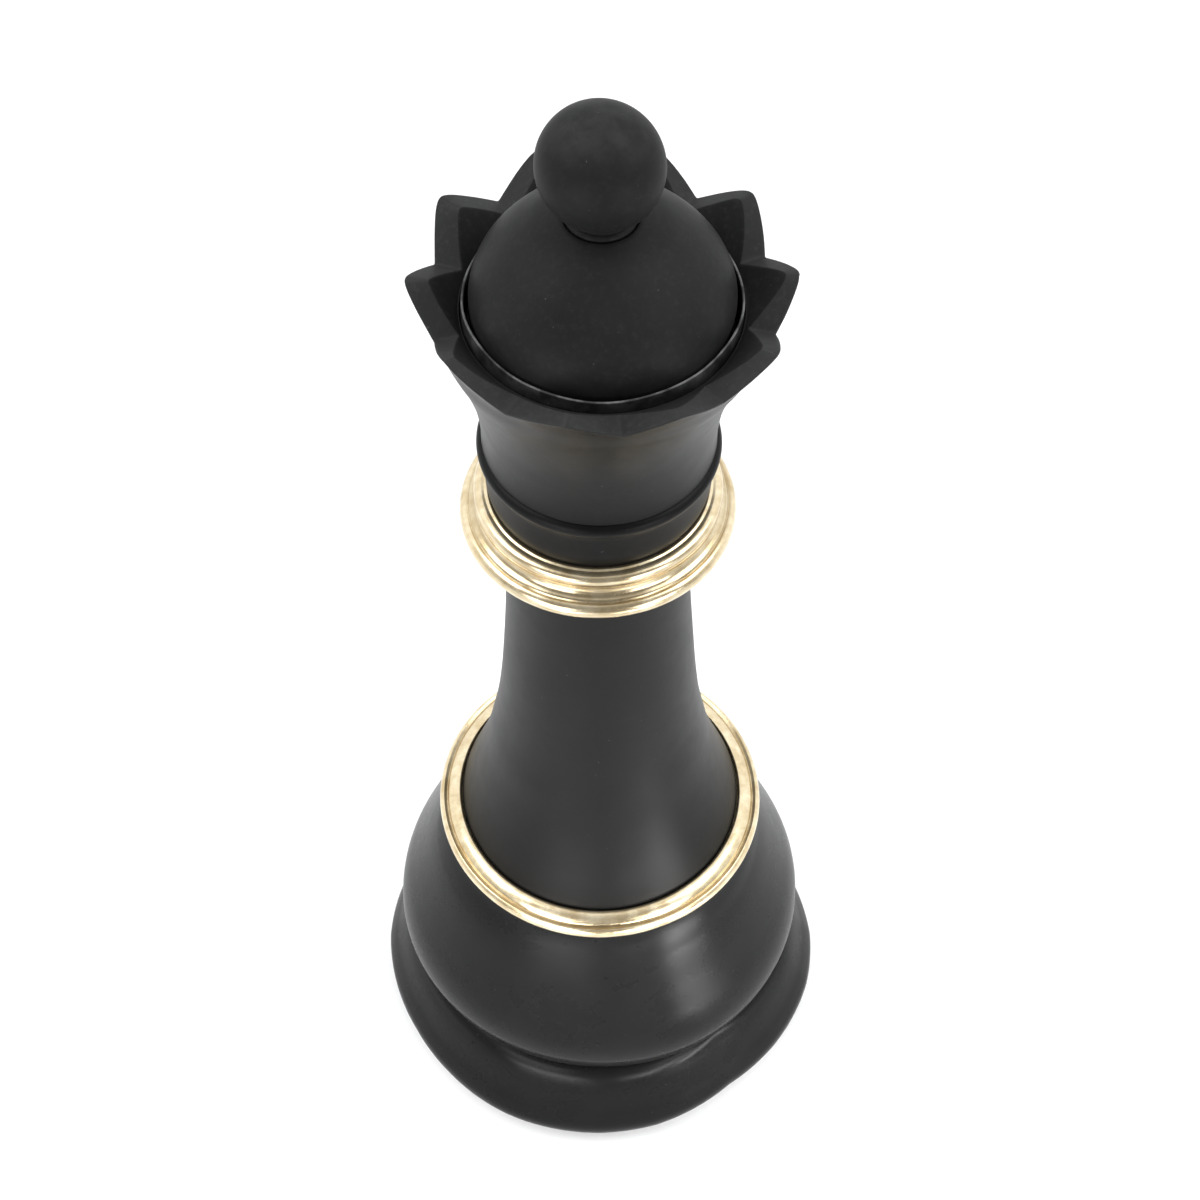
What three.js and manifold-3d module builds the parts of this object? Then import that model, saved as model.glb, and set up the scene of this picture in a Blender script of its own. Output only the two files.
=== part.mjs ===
// A tall ornamental chess queen, built up from hollow cast sections on one tie rod.
// Millimetres, +Z up, origin on the floor under the middle of the base.
import * as THREE from 'three';
import { mergeVertices } from 'three/addons/utils/BufferGeometryUtils.js';
import Module from 'manifold-3d';

const wasm = await Module();
wasm.setup();

// ---- driving dimensions --------------------------------------------------------------
const GAP = 0.3; // clearance between neighbouring pieces
const FIT = 0.4; // radial clearance of a spigot, tenon or board in its socket
const ROUND = 32; // facets round a cast section
const SMALL_ROUND = 16; // facets round the rod and other hardware

const PAD_THICKNESS = 2;
const PAD_RADIUS = 84;
const BOARD_RADIUS = 78;
const BOARD_THICKNESS = 12;
const BOARD_RECESS_RADIUS = 16; // underside recess for the bottom nut
const BOARD_RECESS_DEPTH = 7.5;
const SCREW_COUNT = 4;
const SCREW_CIRCLE = 62; // radius of the circle the board screws sit on
const SCREW_RADIUS = 2;
const SCREW_HEAD_RADIUS = 4;
const SCREW_HEAD_HEIGHT = 2.6;
const SCREW_LENGTH = 23;
const SCREW_POINT = 3; // length of the tapered end
const SCREW_SLOT = [5.2, 1, 2.6]; // one bar of the cross slot: length, width and height
const SCREW_BOSS_RADIUS = 7;

const PLINTH_RADIUS = 92.3;
const PLINTH_TOP = 38.2; // the bulb stands here
const DECK_THICKNESS = 8;
const DECK_HOLE_RADIUS = 28;
const PLINTH_CAVITY = 71;
const BALLAST_OUTER = 50;
const BALLAST_INNER = 18;
const BALLAST_HEIGHT = 13;

const BULB_RADIUS = 83.3;
const BULB_TOP = 126.3;
const SPIGOT_RADIUS = 54; // locates the bulb on the plinth
const SPIGOT_HEIGHT = 5;
const SPIGOT_WALL = 6;

const LOWER_RING_RADIUS = 64.3;
const LOWER_RING_SEAT = 132; // the stem stands here, inside the gilt bead
const STEM_FOOT_RADIUS = 53;
const STEM_WAIST_RADIUS = 32.2;
const STEM_SHOULDER = 313.2; // the gilt collar stands here
const STEM_TENON_RADIUS = 29;
const STEM_TENON_TOP = 343;
const STEM_BORE = 22;

const COLLAR_RADIUS = 46.9;
const COLLAR_TOP = 330.2;
const BAND_RADIUS = 37.9;
const BAND_FOOT_RADIUS = 36.7;
const BAND_TOP = 348.7;
const NECK_BEAD_RADIUS = 40.4;
const NECK_BEAD_TOP = 354.9;

const TIP_COUNT = 10;
const TIP_RADIUS = 60.6;
const TIP_HEIGHT = 428.9;
const NOTCH_HEIGHT = 417.3; // lowest line of the cut between two points
const FIRST_TIP = -250.3; // degrees from +X
const TIP_SHIFT = [0, 0, -1.5, -2.6, 6, 3.4, 4.4, 0.6, 1.4, 0.3]; // degrees off an even pitch
const BOWL_FOOT_RADIUS = 44.5; // inner slope of the coronet meets the socket here
const BOWL_FOOT_HEIGHT = 416.2;
const BOWL_SLOPE = 1.1; // rise of the inner slope for each millimetre outwards
const SOCKET_RADIUS = 44;
const SOCKET_FLOOR = 399.7;
const NUT_WELL_RADIUS = 16;
const NUT_WELL_FLOOR = 378;

const LIP_OUTER = 43.7;
const LIP_INNER = 42.5;
const LIP_TOP = 420.4;
const DOME_RADIUS = 41.3;
const DOME_TOP = 454.9;
const PLUG_RADIUS = 40.6;
const SEAL_GROOVE = [404.5, 409.5];
const SEAL_GROOVE_DEPTH = 2.2;
const BEAD_SEAT = 453; // the finial bead sits here, in a recess of the dome
const FINIAL_BEAD_RADIUS = 11.2;
const FINIAL_BEAD_TOP = 456.7;
const BALL_RADIUS = 19.35;
const BALL_CENTRE = 474.7;
const BALL_HOLE_TOP = 468.6;
const FINIAL_SCREW_RADIUS = 3;
const FINIAL_HEAD_RADIUS = 6.5;
const FINIAL_HEAD_HEIGHT = 4;
const FINIAL_HEAD_SEAT = 443; // ceiling of the dome, which the screw head pulls against

const ROD_RADIUS = 4;
const ROD_END = 13; // how far the rod stands up in the nut well
const NUT_CORNER_RADIUS = 7.5;
const TOP_NUT_HEIGHT = 6.5;
const BOTTOM_NUT_HEIGHT = 4;
const WASHER_RADIUS = 13;
const WASHER_THICKNESS = 2;

// ---- materials -----------------------------------------------------------------------
const material = (color, roughness, metalness) =>
  new THREE.MeshStandardMaterial({ color, roughness, metalness });
const blackCast = material('#232325', 0.55, 0);
const gilt = material('#c9b483', 0.35, 0.9);
const steel = material('#9a9da1', 0.4, 1);
const iron = material('#4a4a4c', 0.8, 0.6);
const board = material('#8a6a45', 0.8, 0);
const felt = material('#1f1f20', 1, 0);
const rubber = material('#2b2b2b', 0.9, 0);

// ---- shape helpers -------------------------------------------------------------------
const model = new THREE.Group();

function addPiece(name, geometry, pieceMaterial) {
  const mesh = new THREE.Mesh(geometry, pieceMaterial);
  mesh.name = name;
  model.add(mesh);
  return mesh;
}

// Turns a closed [radius, height] outline round the Z axis, counter-clockwise outline.
function turned(outline, segments = ROUND) {
  const points = [...outline, outline[0]].map(([r, z]) => new THREE.Vector2(r, z));
  return new THREE.LatheGeometry(points, segments).rotateX(Math.PI / 2);
}

// A ring or tube with square corners.
const tube = (inner, outer, bottom, top, segments) =>
  turned([[inner, bottom], [outer, bottom], [outer, top], [inner, top]], segments);

// Points on an arc in the outline plane, from one angle to another in degrees.
function arc(centreR, centreZ, radius, fromDeg, toDeg, steps) {
  return Array.from({ length: steps + 1 }, (_, i) => {
    const angle = THREE.MathUtils.degToRad(fromDeg + ((toDeg - fromDeg) * i) / steps);
    return [centreR + radius * Math.cos(angle), centreZ + radius * Math.sin(angle)];
  });
}

// Points on a smooth curve through a few guide points, two steps to a span.
function smooth(guides) {
  const curve = new THREE.SplineCurve(guides.map(([r, z]) => new THREE.Vector2(r, z)));
  return curve.getPoints(2 * (guides.length - 1)).map((p) => [p.x, p.y]);
}

function toSolid(geometry) {
  const plain = geometry.clone();
  plain.deleteAttribute('normal');
  plain.deleteAttribute('uv');
  const merged = mergeVertices(plain, 1e-4);
  return new wasm.Manifold(new wasm.Mesh({
    numProp: 3,
    vertProperties: new Float32Array(merged.attributes.position.array),
    triVerts: new Uint32Array(merged.index.array),
  }));
}

function toGeometry(solid) {
  const mesh = solid.getMesh();
  const geometry = new THREE.BufferGeometry();
  geometry.setAttribute('position', new THREE.BufferAttribute(mesh.vertProperties, 3));
  geometry.setIndex(new THREE.BufferAttribute(mesh.triVerts, 1));
  return geometry;
}

const cylinder = (radius, bottom, top, segments = SMALL_ROUND) =>
  new THREE.CylinderGeometry(radius, radius, top - bottom, segments)
    .rotateX(Math.PI / 2)
    .translate(0, 0, (bottom + top) / 2);

const screwAngles = Array.from({ length: SCREW_COUNT }, (_, i) => ((i + 0.5) * 2 * Math.PI) / SCREW_COUNT);
const atScrew = (geometry, angle) =>
  geometry.translate(SCREW_CIRCLE * Math.cos(angle), SCREW_CIRCLE * Math.sin(angle), 0);

// ---- base ----------------------------------------------------------------------------
const boardBottom = PAD_THICKNESS + GAP;
const boardTop = boardBottom + BOARD_THICKNESS;
const deckBottom = PLINTH_TOP - DECK_THICKNESS;
const recessTop = boardBottom + BOARD_RECESS_DEPTH;

function plinth() {
  const rolledEdge = smooth([
    [88.6, boardBottom], [PLINTH_RADIUS, 11], [88, 20.8], [84.1, 29.8], [80.4, 35.6], [76.2, PLINTH_TOP],
  ]);
  const shell = toSolid(turned([
    [PLINTH_CAVITY, boardTop + GAP], [BOARD_RADIUS + FIT, boardTop + GAP],
    [BOARD_RADIUS + FIT, boardBottom], ...rolledEdge,
    [SPIGOT_RADIUS, PLINTH_TOP], [SPIGOT_RADIUS, PLINTH_TOP + SPIGOT_HEIGHT],
    [SPIGOT_RADIUS - SPIGOT_WALL, PLINTH_TOP + SPIGOT_HEIGHT], [SPIGOT_RADIUS - SPIGOT_WALL, PLINTH_TOP],
    [DECK_HOLE_RADIUS, PLINTH_TOP], [DECK_HOLE_RADIUS, deckBottom], [PLINTH_CAVITY, deckBottom],
  ]));
  let solid = shell;
  for (const angle of screwAngles) {
    const boss = atScrew(cylinder(SCREW_BOSS_RADIUS, boardTop + GAP, deckBottom + 1), angle);
    const pilot = atScrew(cylinder(SCREW_RADIUS + GAP, boardTop - 1, deckBottom - 2), angle);
    solid = solid.add(toSolid(boss)).subtract(toSolid(pilot));
  }
  return toGeometry(solid);
}

function baseBoard() {
  let solid = toSolid(turned([
    [ROD_RADIUS + 1, recessTop], [BOARD_RECESS_RADIUS, recessTop],
    [BOARD_RECESS_RADIUS, boardBottom], [BOARD_RADIUS - 1, boardBottom],
    [BOARD_RADIUS, boardBottom + 1], [BOARD_RADIUS, boardTop - 1],
    [BOARD_RADIUS - 1, boardTop], [ROD_RADIUS + 1, boardTop],
  ]));
  for (const angle of screwAngles) {
    const hole = cylinder(SCREW_RADIUS + GAP, boardBottom - 1, boardTop + 1);
    const sink = cylinder(
      SCREW_HEAD_RADIUS + GAP, boardBottom - 1, boardBottom + SCREW_HEAD_HEIGHT + 2 * GAP,
    );
    solid = solid.subtract(toSolid(atScrew(hole, angle))).subtract(toSolid(atScrew(sink, angle)));
  }
  return toGeometry(solid);
}

function boardScrew(angle) {
  const bottom = boardBottom + GAP;
  const neck = bottom + SCREW_HEAD_HEIGHT;
  const screw = turned([
    [0, bottom], [SCREW_HEAD_RADIUS, bottom], [SCREW_HEAD_RADIUS, neck],
    [SCREW_RADIUS, neck], [SCREW_RADIUS, bottom + SCREW_LENGTH - SCREW_POINT],
    [0, bottom + SCREW_LENGTH],
  ], SMALL_ROUND);
  let solid = toSolid(screw);
  for (const turn of [0, Math.PI / 2]) {
    const slot = new THREE.BoxGeometry(...SCREW_SLOT).rotateZ(turn).translate(0, 0, bottom);
    solid = solid.subtract(toSolid(slot));
  }
  return atScrew(toGeometry(solid), angle);
}

function basePad() {
  const edge = arc(PAD_RADIUS - 1, PAD_THICKNESS / 2, PAD_THICKNESS / 2, -90, 90, 4);
  return turned([[0, 0], ...edge, [0, PAD_THICKNESS]]);
}

// ---- bulb and lower ring -------------------------------------------------------------
function bulb() {
  const foot = PLINTH_TOP + GAP;
  const flank = smooth([
    [75.8, foot], [BULB_RADIUS, 57], [80.4, 71], [73, 90], [64.6, 109], [59.9, 119.5], [60.3, BULB_TOP],
  ]);
  return turned([
    [SPIGOT_RADIUS + FIT, foot], ...flank, [44, BULB_TOP], [44, BULB_TOP - 7],
    [54, BULB_TOP - 14], [72, 70], [76, 56], [71, foot + 7], [SPIGOT_RADIUS + FIT, foot + 7],
  ]);
}

function lowerRing() {
  const bottom = BULB_TOP + GAP;
  const outerBead = arc(LOWER_RING_RADIUS - 3.1, bottom + 2.1, 3.1, -42, 62, 5);
  const groove = [61.2, LOWER_RING_SEAT - 1.4];
  const innerBead = arc(58.2, LOWER_RING_SEAT - 0.7, 2.6, 15, 155, 5);
  return turned([
    [STEM_FOOT_RADIUS + FIT, bottom], [62.6, bottom], ...outerBead, groove, ...innerBead,
    [STEM_FOOT_RADIUS + FIT, LOWER_RING_SEAT],
  ]);
}

// ---- stem and upper collar -----------------------------------------------------------
function stem() {
  const foot = BULB_TOP + GAP;
  const shoulder = LOWER_RING_SEAT + GAP;
  const flank = smooth([
    [55.1, shoulder], [47.6, 155], [40.7, 185], [36, 220], [33.2, 260],
    [STEM_WAIST_RADIUS, 290], [STEM_WAIST_RADIUS, STEM_SHOULDER],
  ]);
  return turned([
    [46, foot], [STEM_FOOT_RADIUS, foot], [STEM_FOOT_RADIUS, shoulder], ...flank,
    [STEM_TENON_RADIUS, STEM_SHOULDER], [STEM_TENON_RADIUS, STEM_TENON_TOP],
    [STEM_BORE, STEM_TENON_TOP], [STEM_BORE, 300], [30, 210], [40, 155],
  ]);
}

function upperCollar() {
  const bottom = STEM_SHOULDER + GAP;
  const lowerBead = arc(COLLAR_RADIUS - 3.5, bottom + 3.8, 3.5, -90, 75, 7);
  const cove = [[43.4, 321.3], [41.6, 322.8], [41.1, 324.6]];
  const topBead = arc(39.5, COLLAR_TOP - 2.5, 2.5, -28, 90, 5);
  return turned([
    [STEM_TENON_RADIUS + FIT, bottom], [38, bottom], ...lowerBead, ...cove, ...topBead,
    [STEM_TENON_RADIUS + FIT, COLLAR_TOP],
  ]);
}

// ---- neck ----------------------------------------------------------------------------
function neckBand() {
  const bottom = COLLAR_TOP + GAP;
  return turned([
    [STEM_TENON_RADIUS + FIT, bottom], [BAND_FOOT_RADIUS, bottom], [37.4, bottom + 3],
    [BAND_RADIUS, bottom + 5.5], [BAND_RADIUS, BAND_TOP - 3], [38.4, BAND_TOP],
    [STEM_TENON_RADIUS + FIT, BAND_TOP],
  ]);
}

function neckBead() {
  const bottom = BAND_TOP + GAP;
  const middle = (bottom + NECK_BEAD_TOP) / 2;
  const radius = (NECK_BEAD_TOP - bottom) / 2;
  const rim = arc(NECK_BEAD_RADIUS - radius, middle, radius, -90, 90, 6);
  return turned([
    [STEM_TENON_RADIUS + FIT, bottom], ...rim, [STEM_TENON_RADIUS + FIT, NECK_BEAD_TOP],
  ]);
}

// ---- coronet -------------------------------------------------------------------------
const tipAngle = (i) =>
  THREE.MathUtils.degToRad(FIRST_TIP + (360 / TIP_COUNT) * i + TIP_SHIFT[i % TIP_COUNT]);

// A wedge cutter, whose lower edge is the radial line at the bottom of the notch after a point.
// Its sides rise to the points on either hand.
function notchCutter(i) {
  const halfSpread = (tipAngle(i + 1) - tipAngle(i)) / 2;
  const slope = (TIP_HEIGHT - NOTCH_HEIGHT) / (TIP_RADIUS * Math.sin(halfSpread));
  const reach = 30;
  const innerEnd = 30;
  const section = new THREE.Shape([
    new THREE.Vector2(0, 0),
    new THREE.Vector2(reach, reach * slope),
    new THREE.Vector2(-reach, reach * slope),
  ]);
  return new THREE.ExtrudeGeometry(section, { depth: 50, bevelEnabled: false })
    .rotateX(Math.PI / 2)
    .rotateZ(Math.PI / 2)
    .translate(innerEnd, 0, NOTCH_HEIGHT)
    .rotateZ(tipAngle(i) + halfSpread);
}

function coronet() {
  const bottom = NECK_BEAD_TOP + GAP;
  const blankTop = 431;
  const flare = smooth([
    [38.7, bottom], [39.3, 370], [43.3, 390], [50.3, 408], [53.9, 417],
    [TIP_RADIUS, TIP_HEIGHT], [62, blankTop],
  ]);
  const bowlTop = BOWL_FOOT_RADIUS + (blankTop - BOWL_FOOT_HEIGHT) / BOWL_SLOPE;
  let solid = toSolid(turned([
    [ROD_RADIUS + 1, STEM_TENON_TOP + GAP], [STEM_TENON_RADIUS, STEM_TENON_TOP + GAP],
    [STEM_TENON_RADIUS, bottom], ...flare, [bowlTop, blankTop],
    [BOWL_FOOT_RADIUS, BOWL_FOOT_HEIGHT], [SOCKET_RADIUS, BOWL_FOOT_HEIGHT],
    [SOCKET_RADIUS, SOCKET_FLOOR], [NUT_WELL_RADIUS, SOCKET_FLOOR],
    [NUT_WELL_RADIUS, NUT_WELL_FLOOR], [ROD_RADIUS + 1, NUT_WELL_FLOOR],
  ]));
  for (let i = 0; i < TIP_COUNT; i += 1) {
    solid = solid.subtract(toSolid(notchCutter(i)));
  }
  return toGeometry(solid);
}

function socketRing() {
  return turned([
    [LIP_INNER, SOCKET_FLOOR + GAP], [LIP_OUTER, SOCKET_FLOOR + GAP], [LIP_OUTER, LIP_TOP - 0.4],
    [LIP_OUTER - 0.4, LIP_TOP], [LIP_INNER + 0.4, LIP_TOP], [LIP_INNER, LIP_TOP - 0.4],
  ]);
}

// ---- lift-out cap --------------------------------------------------------------------
const screwHole = FINIAL_SCREW_RADIUS + GAP;
const grooveFloor = PLUG_RADIUS - SEAL_GROOVE_DEPTH;

function crownDome() {
  const ogive = smooth([
    [PLUG_RADIUS, 416], [DOME_RADIUS, 421], [36.4, 435], [27.8, 445], [17.8, 452.4], [12.2, DOME_TOP],
  ]);
  return turned([
    [34, SOCKET_FLOOR + GAP], [PLUG_RADIUS, SOCKET_FLOOR + GAP], [PLUG_RADIUS, SEAL_GROOVE[0]],
    [grooveFloor, SEAL_GROOVE[0]], [grooveFloor, SEAL_GROOVE[1]],
    [PLUG_RADIUS, SEAL_GROOVE[1]], ...ogive,
    [FINIAL_BEAD_RADIUS + FIT, DOME_TOP], [FINIAL_BEAD_RADIUS + FIT, BEAD_SEAT],
    [screwHole, BEAD_SEAT], [screwHole, FINIAL_HEAD_SEAT], [16, FINIAL_HEAD_SEAT], [26, 436], [33, 424],
  ]);
}

function capSeal() {
  const [low, high] = SEAL_GROOVE;
  const inner = grooveFloor + GAP;
  const bulge = arc(LIP_INNER - 1.4, (low + high) / 2, 1, -90, 90, 4);
  return turned([[inner, low + 0.6], ...bulge, [inner, high - 0.6]]);
}

function finialBead() {
  const bottom = BEAD_SEAT + GAP;
  const half = (FINIAL_BEAD_TOP - bottom) / 2;
  const rim = arc(FINIAL_BEAD_RADIUS - half, bottom + half, half, -90, 90, 4);
  return turned([[screwHole, bottom], ...rim, [screwHole, FINIAL_BEAD_TOP]], SMALL_ROUND);
}

function finialBall() {
  const foot = FINIAL_BEAD_TOP + GAP;
  const neck = [[11, foot], [11.2, foot + 1.3], [12, foot + 3], [14, foot + 5.7], [16.4, foot + 9]];
  return turned([
    [screwHole, foot], ...neck, ...arc(0, BALL_CENTRE, BALL_RADIUS, -18, 90, 8).slice(0, -1),
    [0, BALL_CENTRE + BALL_RADIUS], [0, BALL_HOLE_TOP], [screwHole, BALL_HOLE_TOP],
  ]);
}

function finialScrew() {
  const shoulder = FINIAL_HEAD_SEAT - GAP;
  const bottom = shoulder - FINIAL_HEAD_HEIGHT;
  const tip = BALL_HOLE_TOP - 2 * GAP;
  return turned([
    [0, bottom], [FINIAL_HEAD_RADIUS - 1, bottom], [FINIAL_HEAD_RADIUS, bottom + 1],
    [FINIAL_HEAD_RADIUS, shoulder], [FINIAL_SCREW_RADIUS, shoulder],
    [FINIAL_SCREW_RADIUS, tip - 2], [0, tip],
  ], SMALL_ROUND);
}

// ---- tie rod and its nuts ------------------------------------------------------------
const hexNut = (bottom, top) => {
  const hex = toSolid(cylinder(NUT_CORNER_RADIUS, bottom, top, 6));
  return toGeometry(hex.subtract(toSolid(cylinder(ROD_RADIUS + GAP, bottom - 1, top + 1))));
};
const washer = (bottom) =>
  tube(ROD_RADIUS + GAP, WASHER_RADIUS, bottom, bottom + WASHER_THICKNESS, SMALL_ROUND);
const bottomWasherLow = recessTop - GAP - WASHER_THICKNESS;
const bottomNutTop = bottomWasherLow - GAP;
const topWasherLow = NUT_WELL_FLOOR + GAP;
const topNutLow = topWasherLow + WASHER_THICKNESS + GAP;

function tieRod() {
  const bottom = boardBottom + GAP;
  const top = NUT_WELL_FLOOR + ROD_END;
  return turned([
    [0, bottom], [ROD_RADIUS - 0.6, bottom], [ROD_RADIUS, bottom + 0.6],
    [ROD_RADIUS, top - 0.6], [ROD_RADIUS - 0.6, top], [0, top],
  ], SMALL_ROUND);
}

// ---- assembly ------------------------------------------------------------------------
addPiece('base_pad', basePad(), felt);
addPiece('base_board', baseBoard(), board);
screwAngles.forEach((angle, i) => addPiece(`board_screw_${i + 1}`, boardScrew(angle), steel));
addPiece('base_plinth', plinth(), blackCast);
addPiece('ballast_ring',
  tube(BALLAST_INNER, BALLAST_OUTER, boardTop + GAP, boardTop + GAP + BALLAST_HEIGHT), iron);
addPiece('bulb_body', bulb(), blackCast);
addPiece('lower_gilt_ring', lowerRing(), gilt);
addPiece('stem', stem(), blackCast);
addPiece('upper_gilt_collar', upperCollar(), gilt);
addPiece('neck_band', neckBand(), blackCast);
addPiece('neck_bead', neckBead(), blackCast);
addPiece('coronet', coronet(), blackCast);
addPiece('socket_ring', socketRing(), blackCast);
addPiece('crown_dome', crownDome(), blackCast);
addPiece('cap_seal', capSeal(), rubber);
addPiece('finial_bead', finialBead(), blackCast);
addPiece('finial_ball', finialBall(), blackCast);
addPiece('finial_screw', finialScrew(), steel);
addPiece('tie_rod', tieRod(), steel);
addPiece('bottom_washer', washer(bottomWasherLow), steel);
addPiece('bottom_nut', hexNut(bottomNutTop - BOTTOM_NUT_HEIGHT, bottomNutTop), steel);
addPiece('top_washer', washer(topWasherLow), steel);
addPiece('top_nut', hexNut(topNutLow, topNutLow + TOP_NUT_HEIGHT), steel);

export default model;
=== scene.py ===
"""Looks for a tall ornamental chess queen: black cast sections, two gilt rings, a ten-pointed coronet.

Outlines are written as [radius, height] in millimetres and turned round the Z axis.
"""

import math

import bmesh
import bpy
import numpy as np
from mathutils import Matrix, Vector


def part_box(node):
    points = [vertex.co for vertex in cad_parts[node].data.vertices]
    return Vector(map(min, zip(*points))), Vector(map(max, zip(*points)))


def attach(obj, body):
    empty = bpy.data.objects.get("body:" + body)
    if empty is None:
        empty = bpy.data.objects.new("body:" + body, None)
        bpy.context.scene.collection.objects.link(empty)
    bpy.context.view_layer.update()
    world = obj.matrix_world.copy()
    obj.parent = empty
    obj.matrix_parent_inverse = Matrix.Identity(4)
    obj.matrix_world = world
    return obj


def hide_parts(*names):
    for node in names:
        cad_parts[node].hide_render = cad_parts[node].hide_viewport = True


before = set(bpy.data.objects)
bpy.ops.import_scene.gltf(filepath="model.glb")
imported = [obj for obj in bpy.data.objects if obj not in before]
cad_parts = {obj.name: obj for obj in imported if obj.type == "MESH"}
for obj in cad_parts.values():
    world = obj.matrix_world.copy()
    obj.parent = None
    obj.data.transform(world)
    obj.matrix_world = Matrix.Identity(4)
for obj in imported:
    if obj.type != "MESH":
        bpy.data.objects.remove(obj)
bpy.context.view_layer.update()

MM = 0.001
COLUMNS = 288  # columns of faces round a turned section
RING_COLUMNS = 480  # the same for the gilt rings
BALL_COLUMNS = 160
BEAD_COLUMNS = 96
STEP = 1.2  # spacing of points along a smooth outline, mm
EDGE = 0.45  # how far back a hard corner is rounded, mm
GAP = 0.3  # clearance between neighbouring sections, mm
QUEEN = "queen_body"
CAP = "crown_cap"

# ---- sizes read from the frame, mm ---------------------------------------------------


def foot(node):
    """Lowest height of a CAD node."""
    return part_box(node)[0].z / MM


def top(node):
    """Highest height of a CAD node."""
    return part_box(node)[1].z / MM


def reach(node):
    """Largest radius of a CAD node."""
    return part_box(node)[1].x / MM


# ---- outlines ------------------------------------------------------------------------


def curve(guides):
    """A smooth line through guide points, as a dense list of points."""
    g = np.array(guides, float)
    g = np.vstack([2 * g[0] - g[1], g, 2 * g[-1] - g[-2]])
    points = []
    for a, b, c, d in zip(g[:-3], g[1:-2], g[2:-1], g[3:]):
        steps = max(2, round(float(np.hypot(*(c - b))) / STEP))
        square, cube = 2 * a - 5 * b + 4 * c - d, 3 * b - a - 3 * c + d
        for t in np.arange(steps) / steps:
            points.append(0.5 * (2 * b + (c - a) * t + square * t**2 + cube * t**3))
    points.append(g[-2])
    return [list(p) for p in points]


def arc(centre_r, centre_z, radius, start, end, steps=14):
    """Points on an arc, from one angle to another in degrees."""
    angles = np.radians(np.linspace(start, end, steps + 1))
    return [[centre_r + radius * math.cos(a), centre_z + radius * math.sin(a)] for a in angles]


def soften(outline, cut=EDGE, limit=32):
    """Rounds each corner of a closed outline that turns by more than limit degrees."""
    pts = np.array(outline, float)
    made = []
    for before, here, after in zip(np.roll(pts, 1, 0), pts, np.roll(pts, -1, 0)):
        u, v = before - here, after - here
        lu, lv = np.hypot(*u), np.hypot(*v)
        if lu < 1e-6 or lv < 1e-6:
            continue
        turn = 180 - math.degrees(math.acos(np.clip(u @ v / (lu * lv), -1, 1)))
        if turn < limit or here[0] < 1e-6:
            made.append(here)
            continue
        a = here + u / lu * min(cut, 0.45 * lu)
        b = here + v / lv * min(cut, 0.45 * lv)
        for t in (0, 0.33, 0.67, 1):
            made.append((1 - t) ** 2 * a + 2 * t * (1 - t) * here + t**2 * b)
    return np.array(made)


# ---- meshes --------------------------------------------------------------------------
rng = np.random.default_rng(11)
# direction, push, phase and length (mm) of each wave
WAVES = [
    (rng.normal(size=3), rng.normal(size=3), rng.uniform(0, 2 * math.pi), rng.uniform(70, 200))
    for _ in range(10)
]
WAVE_DEPTH = 0.08  # mm

# how far the sections stand off the axis towards +X, as [height, mm]
DRIFT = [
    [0, 0], [60, -0.3], [105, -1.2], [124, -0.2], [140, -0.1], [200, -0.6], [330, -0.6], [390, 0],
    [420, 0.9], [445, 0.4], [480, -0.1],
]


def hand_cast(points):
    """Pushes points (mm) by a smooth field, the same for every piece, so that nothing is quite round."""
    shift = np.zeros_like(points)
    for direction, push, phase, length in WAVES:
        direction = direction / np.linalg.norm(direction)
        wave = np.sin(points @ direction * 2 * math.pi / length + phase)
        shift += WAVE_DEPTH * push * wave[..., None]
    shift[..., 2] *= 0.35
    base_share = np.clip((150 - points[..., 2:3]) / 90, 0, 1)
    settle = np.clip(points[..., 2:3] / 8, 0, 1)
    moved = points + shift * settle * (1 + 0.9 * base_share)
    heights, offsets = zip(*DRIFT)
    moved[..., 0] += np.interp(points[..., 2], heights, offsets)
    return moved


def grid_mesh(name, grid):
    """A closed mesh from a grid of points (columns, rows, xyz in mm) that wraps both ways."""
    columns, rows = grid.shape[:2]
    index = np.arange(columns * rows).reshape(columns, rows)
    right = np.roll(index, -1, 0)
    quads = np.stack([index, right, np.roll(right, -1, 1), np.roll(index, -1, 1)], -1).reshape(-1, 4)
    mesh = bpy.data.meshes.new(name)
    mesh.from_pydata((grid.reshape(-1, 3) * MM).tolist(), [], quads.tolist())
    work = bmesh.new()
    work.from_mesh(mesh)
    bmesh.ops.remove_doubles(work, verts=work.verts, dist=1e-6)
    bmesh.ops.dissolve_degenerate(work, edges=work.edges, dist=1e-7)
    bmesh.ops.recalc_face_normals(work, faces=work.faces)
    work.to_mesh(mesh)
    work.free()
    mesh.polygons.foreach_set("use_smooth", [True] * len(mesh.polygons))
    mesh.set_sharp_from_angle(angle=math.radians(38))
    return mesh


def add_attribute(mesh, name, values):
    """Stores a value for each vertex, which a material reads by name."""
    mesh.attributes.new(name, "FLOAT", "POINT").data.foreach_set("value", values.astype(np.float32))


def turned_grid(outline, columns):
    """Turns an outline round Z: the grid of its points."""
    angles = np.arange(columns) * 2 * math.pi / columns
    r, z = outline[:, 0], outline[:, 1]
    x = np.outer(np.cos(angles), r)
    y = np.outer(np.sin(angles), r)
    return np.stack([x, y, np.broadcast_to(z, x.shape)], -1)


def show(name, mesh, material, body, slot, *nodes):
    """Adds a mesh as a piece that rides on a body and stands for CAD nodes."""
    piece = bpy.data.objects.new(name, mesh)
    bpy.context.scene.collection.objects.link(piece)
    mesh.materials.append(material)
    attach(piece, body)
    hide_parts(*nodes)
    return piece


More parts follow.
